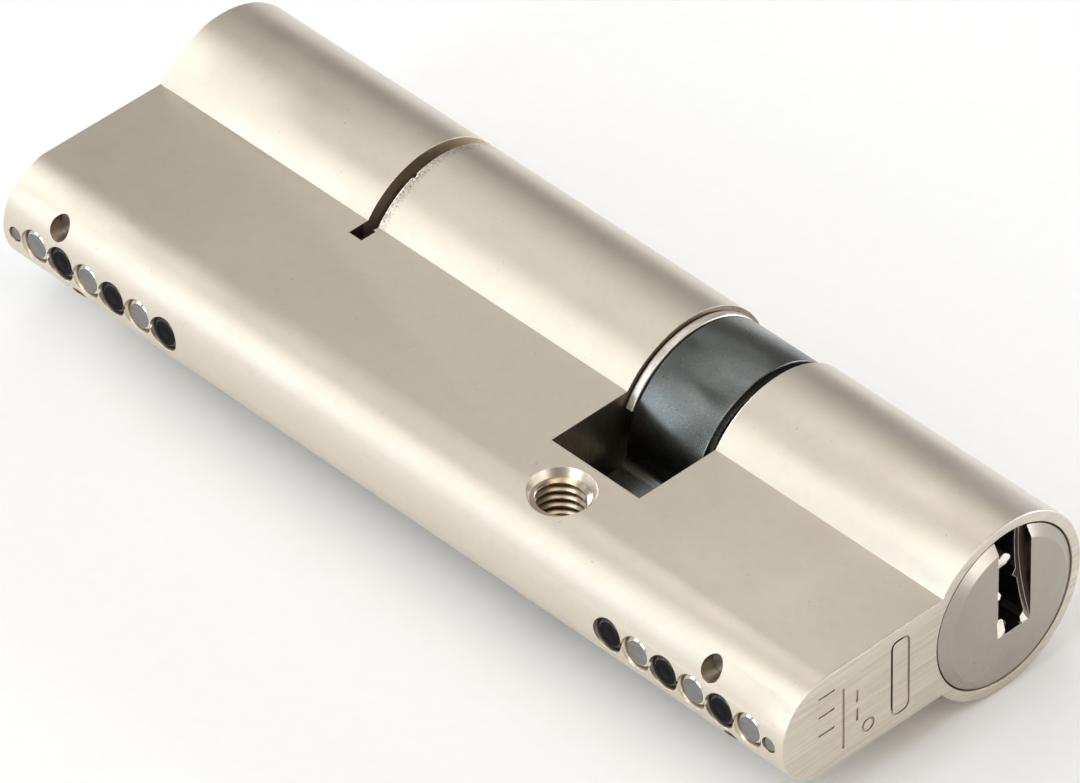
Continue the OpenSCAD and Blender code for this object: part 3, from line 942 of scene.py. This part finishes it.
@dataclass
class Plug:
    """A keyed plug: turned body, flange, keyway with its wards, pin bores."""

    finishes: Finishes
    side: Side
    steps: int = 160
    key_low: float = -1.25
    key_high: float = 2.4
    key_floor: float = -2.3
    ledge: float = 0.45
    ward: float = 0.45
    ward_at: float = 1.9
    chamfer_in: float = 0.06
    pocket_deep: float = 1.45
    pocket_r: float = 19.0
    pocket_from: float = 0.4
    mouth: float = 9.0
    smooth: float = math.radians(13)

    def skins(self) -> list[bpy.types.Material]:
        """Gives the plug's materials in order of index."""
        return [self.finishes.plug_face, self.finishes.channel, self.finishes.ward_painted_glint]

    def outline(self) -> list[tuple[float, float]]:
        """Gives the turned outline, before the side's turn.

        Returns:
            Pairs of distance from the screw and radius, from the inner end to the face.
        """
        face = Layout.length(self.side)
        seat = face - Layout.flange_t + Layout.side
        front = [
            (seat, Layout.plug_r), (seat, Layout.flange_r - 0.05), (seat + 0.05, Layout.flange_r),
            (face - self.chamfer_in, Layout.flange_r),
            (face + Layout.proud, Layout.flange_r - Layout.flange_slope), (face + Layout.proud, 0.0),
        ]
        if self.side is Side.NEAR:
            return nose_outline() + front
        tail, hi, lo = 31.5, 0.1 - Layout.clip_hi, -Layout.clip_lo
        return [(tail, 0.0), (tail, Layout.plug_r - 0.1), (tail + 0.1, Layout.plug_r), (hi, Layout.plug_r),
                (hi, Layout.neck_r), (lo, Layout.neck_r), (lo, Layout.plug_r), *front]

    def keyway(self, start: float, face: float) -> list[bpy.types.Object]:
        """Makes the cutters for the keyway and the pocket at its mouth.

        Args:
            start: inner end of the keyway.
            face: the plug's face.

        Returns:
            The cutters, before the side's turn.
        """
        low, high, floor, w = self.key_low, self.key_high - self.ledge, self.key_floor, self.ward
        bump, mouth, skins = self.ward_at, self.mouth, self.skins()
        section = [
            (low, mouth), (low, 5.95), (low + 0.9, 5.9), (low + 1.25, 5.7), (low + 1.35, 5.5), (low + 1.25, 5.3),
            (low + 0.9, 5.1), (low, 5.05), (low, bump + w),
            (low + 0.7 * w, bump + 0.7 * w), (low + w, bump), (low + 0.7 * w, bump - 0.7 * w), (low, bump - w),
            (low, -0.8), (low + 0.65, -0.8), (low + 0.8, -0.95), (low + 0.8, floor), (high - 0.45, floor),
            (high - 0.45, floor + w), (high, floor + 2 * w), (high, bump - w), (high - w, bump), (high, bump + w),
            (high, mouth),
        ]
        bm = bmesh.new()
        verts = [bm.verts.new((start, y, z)) for y, z in section]
        for a, b in zip(verts, verts[1:] + verts[:1]):
            bm.edges.new((a, b))
        extrude_outline(bm, face + 1 - start, 0.0)
        # The keyway's walls get the dark painted shade.
        for f in bm.faces:
            f.material_index = Face.WALL
        channel = as_object("cutter", bm, skins)
        back, radius, y0, y1 = face - self.pocket_deep, self.pocket_r, self.key_low, self.key_high
        pocket = turned("cutter", [(y0, 0), (y0, radius), (y1, radius), (y1, 0)], Axis.Y, (back + radius, 0, 5.0),
                        720, skins, Face.WALL)
        mouth_box = boxed("cutter", (back - 1, self.pocket_from, floor), (face + 1, y1, mouth), skins, Face.WALL)
        carve(pocket, [mouth_box], "INTERSECT")
        bm = bmesh.new()
        # Shallow tilted cuts on the wards and floor get the bright painted highlight.
        for y, z, dy, dz, lean in ((y0 + 0.42, -1.45, 0.42, 0.85, 14), (y0 + 0.3, bump, 0.3, 0.5, 14),
                                   (y0 + 0.7, 5.5, 0.7, 0.4, 10), (1.85, floor + 0.45, 0.55, 0.45, 16)):
            made = block(bm, (0, -dy, -dz), (2, dy, dz), Face.FRESH)
            tilt = Matrix.Rotation(math.radians(-lean), 4, "Y") @ Matrix.Rotation(math.radians(-lean), 4, "Z")
            bmesh.ops.transform(bm, matrix=Matrix.Translation((face - 0.2, y, z)) @ tilt, verts=made)
        return [channel, pocket, as_object("cutter", bm, skins)]

    def pin_bores(self) -> bpy.types.Object:
        """Makes the cutters for the key pins' bores.

        Returns:
            One cutter for all of them.
        """
        r, low = Layout.pin_r + Layout.run, -8.0
        bm = bmesh.new()
        for i in range(Layout.pins):
            outline = [(low, 0), (low, r), (0.0, r), (0.0, 0)]
            lathe(bm, outline, Axis.Y, (Layout.pin_x(self.side, i), 0, 0), 40, skin=Face.WALL)
        return as_object("cutter", bm, self.skins())

    def clutch_bed(self) -> bpy.types.Object:
        """Makes the cutter for the dog's bed, or for the tongue's slot on the far side."""
        x0, x1 = (0.5, 4.2) if self.side is Side.NEAR else (30.5, 33.6)
        reach, half = Layout.dog_reach, Layout.dog_half + Layout.slack
        return boxed("cutter", (x0, -reach, -half), (x1, reach, half), self.skins(), Face.WALL)

    def build(self) -> None:
        """Builds the plug and turns it to its side."""
        outline, name = self.outline(), f"{self.side.value}_plug"
        plug = turned(f"{name}_body", outline, steps=self.steps, skins=self.skins())
        face = Layout.length(self.side) + Layout.proud
        start = outline[0][0] - 1
        cutters = self.keyway(start, face) + [self.pin_bores(), self.clutch_bed()]
        if self.side is Side.FAR:
            r = Layout.dog_half + Layout.slack
            rod_bore = [(30.5, 0), (30.5, r), (36.5, r), (36.5, 0)]
            cutters.append(turned("cutter", rod_bore, steps=40, skins=self.skins(), skin=Face.WALL))
        carve(plug, cutters)
        plug.data.transform(self.side.place())
        finish_piece(plug, name, [name], smooth=self.smooth)


# --------------------------------------------------------------------------- cam


@dataclass
class Cam:
    """The blackened cam: a band with a flared finger and a slotted wall inside."""

    finishes: Finishes
    band_r: float = 8.1
    width: float = 7.8
    finger_r: float = 14.9
    half: float = math.radians(14.75)
    turn: float = math.radians(20.0)
    fillet: float = 1.0
    corner: float = 0.9
    wall: float = 1.4
    hole: float = 2.28
    slot_r: float = 6.25
    slot_half: float = 1.6

    def outline(self, bm: BMesh) -> None:
        """Draws the cam's outline, with its finger towards -Y, then turns it to rest.

        Args:
            bm: mesh to draw in.
        """
        x = -self.width / 2
        reach = self.band_r + self.fillet
        foot_u = math.sqrt(reach**2 - self.fillet**2)
        lean = math.asin(self.fillet / reach)

        def spot(u: float, w: float, side: int) -> Triple:
            """Gives the point u out along a flank and w off it."""
            s, c = math.sin(self.half), math.cos(self.half)
            return (x, w * s - u * c, side * (u * s + w * c))

        tip_u = math.sqrt((self.finger_r - self.corner) ** 2 - self.corner**2)
        tip_lean = math.asin(self.corner / (self.finger_r - self.corner))
        upper = bm.verts.new(spot(foot_u, 0, 1))
        arc(bm, upper, spot(foot_u, self.fillet, 1), math.pi / 2 - lean, 10)
        start = bm.verts.new(spot(foot_u, 0, -1))
        band_low = arc(bm, start, spot(foot_u, self.fillet, -1), lean - math.pi / 2, 10)
        arc(bm, band_low, (x, 0, 0), FULL - 2 * (self.half + lean), 180)
        flank_up = bm.verts.new(spot(tip_u, 0, 1))
        bm.edges.new((upper, flank_up))
        corner_up = arc(bm, flank_up, spot(tip_u, -self.corner, 1), math.pi / 2 + tip_lean, 10)
        across = arc(bm, corner_up, (x, 0, 0), 2 * (self.half - tip_lean), 24)
        arc(bm, across, spot(tip_u, -self.corner, -1), math.pi / 2 + tip_lean, 10)
        flank_low = bm.verts.new(spot(tip_u, 0, -1))
        bm.edges.new((flank_low, start))
        bmesh.ops.rotate(bm, cent=(0, 0, 0), matrix=Matrix.Rotation(self.turn, 3, "X"), verts=bm.verts[:])
        bmesh.ops.remove_doubles(bm, verts=bm.verts[:], dist=0.02)

    def build(self) -> None:
        """Builds the cam."""
        bm = bmesh.new()
        self.outline(bm)
        extrude_outline(bm, self.width, 0.12)
        cam = as_object("cam_body", bm, [self.finishes.cam])
        recess, wall, hole, deep = Layout.nose_r + Layout.run, self.wall, self.hole, 3.0
        cuts = []
        for sign in (-1, 1):
            far = sign * (self.width / 2)
            cuts.append(turned("cutter", [
                (sign * wall, 0), (sign * wall, recess), (far - sign * 0.1, recess), (far, recess + 0.1),
                (far + sign, recess + 0.1), (far + sign, 0)], steps=128))
        cuts.append(turned("cutter", [(-deep, 0), (-deep, hole), (deep, hole), (deep, 0)], steps=48))
        slot_box = boxed("cutter", (-deep, -8, -self.slot_half), (deep, 8, self.slot_half))
        r = self.slot_r
        carve(slot_box, [turned("cutter", [(-deep, 0), (-deep, r), (deep, r), (deep, 0)])], "INTERSECT")
        carve(cam, [*cuts, slot_box])
        finish_piece(cam, "cam", ["cam"])


# --------------------------------------------------------------------------- small turned pieces


@dataclass
class PinStacks:
    """Key pins, drivers, springs and caps of both sides, each turned and softened."""

    finishes: Finishes
    soft: float = 0.12
    driver_l: float = 5.8
    shear: float = 6.62
    wire_r: float = 0.16
    coil_r: float = 0.9
    coils: int = 5

    def key_pin(self, side: Side, index: int) -> None:
        """Builds one key pin with a rounded tip.

        Args:
            side: the pin's side.
            index: its place from the face, from 0.
        """
        r, top, tip = Layout.pin_r, -(Layout.plug_r - 0.2), -1.25 + Layout.tips[index]
        outline = [(top, 0), (top, r - self.soft), (top + self.soft, r), (tip - 0.75, r), (tip - 0.4, r * 0.8),
                   (tip - 0.1, r * 0.48), (tip, r * 0.25), (tip, 0)]
        name = f"{side.value}_key_pin_{index + 1}"
        self.pin(name, side, index, outline, self.finishes.pin, "pin_brass")

    def driver(self, side: Side, index: int) -> None:
        """Builds one driver pin, waisted on every other pin.

        Args:
            side: the pin's side.
            index: its place from the face, from 0.
        """
        r, top = Layout.pin_r, -self.shear
        foot = top - self.driver_l
        outline = [(foot, 0), (foot, r - self.soft), (foot + self.soft, r)]
        if index % 2:
            a, b, waist = foot + 0.35 * self.driver_l, foot + 0.75 * self.driver_l, r - 0.3
            outline += [(a, r), (a + 0.15, waist), (b - 0.15, waist), (b, r)]
        outline += [(top - self.soft, r), (top, r - self.soft), (top, 0)]
        name = f"{side.value}_driver_{index + 1}"
        self.pin(name, side, index, outline, self.finishes.steel, "hard_steel")

    def pin(self, name: str, side: Side, index: int, outline: Outline, skin: bpy.types.Material,
            slot: str) -> None:
        """Turns one pin along Y and hands it to its body.

        Args:
            name: the CAD node it stands for, and the body of that name.
            side: its side.
            index: its place from the face, from 0.
            outline: pairs of height and radius.
            skin: its material.
            slot: not used.
        """
        piece = turned(f"{name}_body", outline, Axis.Y, (Layout.pin_x(side, index), 0, 0), 40, [skin])
        piece.data.transform(side.place())
        finish_piece(piece, name, [name])

    def springs(self, side: Side) -> None:
        """Coils one side's driver springs.

        Args:
            side: the springs' side.
        """
        bm = bmesh.new()
        length = -self.shear - self.driver_l - Layout.cap_in
        for i in range(Layout.pins):
            at = (Layout.pin_x(side, i), Layout.cap_in, 0)
            wind_coil(bm, self.coil_r, self.wire_r, self.coils, length, Axis.Y, at)
        bmesh.ops.transform(bm, matrix=side.place(), verts=bm.verts[:])
        name = f"{side.value}_springs"
        finish_piece(as_object(f"{name}_coils", bm, [self.finishes.wire]), "housing", [name])

    def caps(self, first: int, name: str, skins: Sequence[bpy.types.Material]) -> None:
        """Turns every other cap: a flat disc with a chamfered rim.

        Args:
            first: index of the first pin bore that it closes.
            name: the CAD node that they stand for.
            skins: materials of their flat faces and of their rims.
        """
        bm = bmesh.new()
        low, r = Layout.foot + Layout.cap_sink, Layout.cap_r
        outline = [(low, 0), (low, 0.62), (low + 0.008, 0.66), (low, 0.70), (low, r - 0.32), (low + 0.22, r - 0.05),
                   (low + 0.28, r), (Layout.cap_in - 0.1, r), (Layout.cap_in, r - 0.1), (Layout.cap_in, 0)]
        for side in Side:
            here: list[BMVert] = []
            for i in range(first, Layout.pins, 2):
                here += lathe(bm, outline, Axis.Y, (Layout.pin_x(side, i), 0, 0), 64)
            bmesh.ops.transform(bm, matrix=side.place(), verts=here)
        bm.normal_update()
        for face in bm.faces:
            face.material_index = int(abs(face.normal.y) < 0.9)
        finish_piece(as_object(f"{name}_discs", bm, skins), "housing", [name])

    def guards(self) -> None:
        """Turns the small front pins and the hardened side pins."""
        for name, rows in (
            ("front_pins", ((1.5, 0.0, 0.65, Layout.foot + Layout.front_sink),)),
            ("side_pins", ((8.65, 2.8, 0.99, Layout.foot + 1.9), (6.15, -2.8, 0.99, Layout.foot + 1.9))),
        ):
            bm = bmesh.new()
            for side in Side:
                here: list[BMVert] = []
                for back, z, r, low in rows:
                    outline = [(low, 0), (low, r - 0.1), (low + 0.1, r), (-8.8, r), (-8.7, r - 0.1), (-8.7, 0)]
                    here += lathe(bm, outline, Axis.Y, (Layout.length(side) - back, 0, z), 48)
                bmesh.ops.transform(bm, matrix=side.place(), verts=here)
            finish_piece(as_object(f"{name}_rods", bm, [self.finishes.ground]), "housing", [name])

    def build(self) -> None:
        """Builds every stack."""
        for side in Side:
            for i in range(Layout.pins):
                self.key_pin(side, i)
                self.driver(side, i)
            self.springs(side)
        self.caps(0, "steel_caps", [self.finishes.ground, self.finishes.bright])
        self.caps(1, "black_caps", [self.finishes.cap_black, self.finishes.cap_rim])
        self.guards()


def wind_coil(bm: BMesh, coil_r: float, wire_r: float, turns: int, length: float, axis: Axis,
              at: Sequence[float]) -> None:
    """Winds a round-wire coil along an axis.

    Args:
        bm: mesh to add to.
        coil_r: radius of the wire's centre line.
        wire_r: radius of the wire.
        turns: number of turns.
        length: length of the coil, wire included.
        axis: direction of the coil.
        at: foot of the coil.
    """
    before = set(bm.verts)
    per_turn, rise = 28, length - 2 * wire_r
    ring = bmesh.ops.create_circle(bm, cap_ends=True, radius=wire_r, segments=8, matrix=(
        Matrix.Translation((coil_r, 0, wire_r)) @ Matrix.Rotation(math.radians(90), 4, "X")))["verts"]
    geom = ring + list({e for v in ring for e in v.link_edges}) + list({f for v in ring for f in v.link_faces})
    steps = turns * per_turn
    bmesh.ops.spin(bm, geom=geom, cent=(0, 0, 0), axis=(0, 0, 1), dvec=(0, 0, rise / steps),
                   angle=FULL * turns, steps=steps, use_merge=False, use_duplicate=False)
    new = [v for v in bm.verts if v not in before]
    bmesh.ops.transform(bm, matrix=Matrix.Translation(at) @ axis.turn(), verts=new)


# --------------------------------------------------------------------------- drive train


@dataclass
class DriveTrain:
    """Extension, push rod, clutch dogs with their spring, and the open retaining rings."""

    finishes: Finishes
    ring_soft: float = 0.08

    def extension(self) -> None:
        """Turns the extension, cuts its tongue and beds, and bores it for the rod."""
        tail, tip, root, r, wide = -31.4, -33.5, -31.0, Layout.plug_r, Layout.dog_half + Layout.slack
        reach, half = Layout.dog_reach, Layout.dog_half
        nose = [(-x, radius) for x, radius in reversed(nose_outline())]
        outline = [(tail, 0), (tail, r - 0.1), (tail + 0.1, r), *nose]
        piece = turned("extension_body", outline, steps=128, skins=[self.finishes.nickel])
        tongue = boxed("cutter", (tip, -reach, -half), (root, reach, half))
        shank = [(tip, 0), (tip, r - 0.1), (tip + 0.1, r), (root, r), (root, 0)]
        carve(tongue, [turned("cutter", shank, steps=128)], "INTERSECT")
        carve(piece, [tongue], "UNION")
        bed = boxed("cutter", (-4.2, -reach, -wide), (-0.5, reach, wide))
        carve(piece, [bed, turned("cutter", [(-36, 0), (-36, wide), (0, wide), (0, 0)], steps=40)])
        finish_piece(piece, "far_plug", ["extension"])

    def rod(self) -> None:
        """Turns the push rod with rounded ends."""
        outline = [(-36.4, 0), (-36.4, 1.1), (-36.25, 1.38), (-36.0, 1.5), (-4.25, 1.5), (-4.1, 1.35), (-4.1, 0)]
        rod = turned("push_rod_bar", outline, steps=40, skins=[self.finishes.steel])
        finish_piece(rod, "far_dog", ["push_rod"])

    def dogs(self) -> None:
        """Cuts both clutch dogs from round discs."""
        lo, hi, r, soft, half = 1.7, 4.1, 6.15, 0.15, Layout.dog_half
        disc = [(lo, 0), (lo, r - soft), (lo + soft, r), (hi - soft, r), (hi, r - soft), (hi, 0)]
        for side in Side:
            dog = turned(f"{side.value}_dog_bar", disc, steps=128, skins=[self.finishes.steel])
            bm = bmesh.new()
            made = block(bm, (1.0, -8, -half), (5.0, 8, half))
            long_edges = [e for e in {e for v in made for e in v.link_edges}
                          if abs(e.verts[0].co.y - e.verts[1].co.y) > 1]
            soften(bm, long_edges, 0.1, 2)
            carve(dog, [as_object("cutter", bm)], "INTERSECT")
            dog.data.transform(side.place())
            name = f"{side.value}_dog"
            finish_piece(dog, name, [name])

    def clutch_spring(self) -> None:
        """Winds the spring between the dogs."""
        bm = bmesh.new()
        length = 3.4
        wind_coil(bm, 1.8, 0.16, 3, length, Axis.X, (-length / 2, 0, 0))
        spring = as_object("clutch_spring_coil", bm, [self.finishes.wire])
        finish_piece(spring, "cam", ["clutch_spring"])

    def ring(self, node: str, body: str, x0: float, thick: float, radius: float, skin: bpy.types.Material,
             slot: str) -> None:
        """Spins one open ring, its gap towards the leg.

        Args:
            node: the CAD node that it stands for.
            body: body it rides on.
            x0: its lower side along X.
            thick: its thickness.
            radius: its outer radius.
            skin: its material.
            slot: not used.
        """
        inner, s = Layout.neck_r + Layout.run, self.ring_soft
        gap = 2 * math.asin(0.75 * Layout.neck_r / inner) * 0.55
        bm = bmesh.new()
        section = [(x0, inner + s), (x0 + s, inner), (x0 + thick - s, inner), (x0 + thick, inner + s),
                   (x0 + thick, radius - s), (x0 + thick - s, radius), (x0 + s, radius), (x0, radius - s)]
        verts = [bm.verts.new((x, -r, 0)) for x, r in section]
        face = bm.faces.new(verts)
        bmesh.ops.rotate(bm, cent=(0, 0, 0), matrix=Matrix.Rotation(gap / 2, 3, "X"), verts=verts)
        bmesh.ops.spin(bm, geom=[face, *face.edges, *verts], cent=(0, 0, 0), axis=(1, 0, 0), dvec=(0, 0, 0),
                       angle=FULL - gap, steps=150, use_merge=False, use_duplicate=False)
        finish_piece(as_object(f"{node}_clip", bm, [skin]), body, [node])

    def build(self) -> None:
        """Builds the drive train."""
        self.extension()
        self.rod()
        self.dogs()
        self.clutch_spring()
        f = self.finishes
        self.ring("near_ring", "near_plug", 4.1, 0.8, 6.95, f.bright, "spring_steel")
        self.ring("extension_ring", "far_plug", -4.9, 0.8, 8.1, f.ring, "spring_steel")
        self.ring("far_ring", "far_plug", -35.05, 1.0, 6.95, f.clip_black, "black_steel")


# --------------------------------------------------------------------------- studio


@dataclass
class Studio:
    """Camera, pale floor and soft lights."""

    eye: Triple = (0.47608, -0.44445, 0.56690)
    aim: Triple = (-0.01422, 0.01121, 0.0)
    lens: float = 364.9
    sensor: float = 36.0
    roll: float = math.radians(-1.25)
    floor_z: float = -0.0085
    box_away: float = 2.2
    box_size: float = 1.0

    def camera(self) -> None:
        """Sets the long-lens camera."""
        data = bpy.data.cameras.new("studio_camera")
        data.lens, data.sensor_width, data.sensor_fit = self.lens, self.sensor, "HORIZONTAL"
        data.clip_start, data.clip_end = 0.05, 20.0
        camera = bpy.data.objects.new("studio_camera", data)
        look = Vector(self.aim) - Vector(self.eye)
        stand = look.to_track_quat("-Z", "Y").to_matrix().to_4x4()
        camera.matrix_world = Matrix.Translation(self.eye) @ stand @ Matrix.Rotation(self.roll, 4, "Z")
        bpy.context.scene.collection.objects.link(camera)
        bpy.context.scene.camera = camera

    def floor(self) -> None:
        """Lays the floor under the part."""
        bm = bmesh.new()
        bmesh.ops.create_grid(bm, x_segments=2, y_segments=2, size=3.0)
        bmesh.ops.translate(bm, vec=(0, 0, self.floor_z - 0.00002), verts=bm.verts[:])
        floor = as_object("floor", bm, [Tabletop().build()])

    def softbox(self, name: str, turn: float, height: float, power: float, tint: Triple) -> None:
        """Hangs one soft square light that faces the part.

        Args:
            name: the light's name.
            turn: its direction from the part, in degrees from +X towards +Y.
            height: its height above the floor as an angle in degrees.
            power: its power in watts.
            tint: its colour.
        """
        data = bpy.data.lights.new(name, "AREA")
        data.shape, data.size, data.energy, data.color = "SQUARE", self.box_size, power, tint
        around, up = math.radians(turn), math.radians(height)
        way = Vector((math.cos(around) * math.cos(up), math.sin(around) * math.cos(up), math.sin(up)))
        light = bpy.data.objects.new(name, data)
        aim = (-way).to_track_quat("-Z", "Y").to_matrix().to_4x4()
        light.matrix_world = Matrix.Translation(way * self.box_away) @ aim
        bpy.context.scene.collection.objects.link(light)

    def sky(self) -> None:
        """Sets an even pale surround."""
        world = bpy.data.worlds.new("surround")
        world.use_nodes = True
        back = world.node_tree.nodes["Background"]
        back.inputs["Color"].default_value = rgb(1.0, 0.93, 0.85)
        back.inputs["Strength"].default_value = 0.27
        bpy.context.scene.world = world

    def build(self) -> None:
        """Sets up the studio."""
        self.floor()
        self.sky()
        warm, plain, cool = (1.0, 0.88, 0.7), (1.0, 1.0, 1.0), (0.75, 0.82, 1.0)
        for name, turn, height, power, tint in (
            ("low_front", 8, 9, 9.0, plain), ("low_front_right", 46, 9, 13.0, plain),
            ("low_left", 270, 14, 15.0, plain), ("low_far_left", 225, 14, 6.0, (0.85, 0.92, 1.0)),
            ("low_back", 180, 14, 31.4, (0.94, 0.98, 1.0)), ("low_right", 90, 14, 20.5, cool),
            ("side_left", 270, 38, 6.4, (0.65, 0.85, 1.0)), ("side_far_left", 225, 38, 4.1, plain),
            ("side_back", 135, 38, 1.2, plain), ("high_left", 270, 62, 11.1, plain),
            ("high_back", 180, 62, 2.4, plain), ("high_right", 135, 62, 3.0, plain), ("high_front", 0, 62, 7.8, warm),
        ):
            self.softbox(name, turn, height, power, tint)
        bpy.context.scene.view_settings.view_transform = "Standard"


def main() -> None:
    """Builds the studio and every sub-assembly."""
    logging.basicConfig(level=logging.INFO, format="%(name)s: %(message)s")
    studio = Studio()
    studio.camera()
    finishes = Finishes()
    Housing(finishes).build()
    for side in Side:
        Plug(finishes, side).build()
    Cam(finishes).build()
    PinStacks(finishes).build()
    DriveTrain(finishes).build()
    studio.build()


if __name__ == "__main__":
    main()
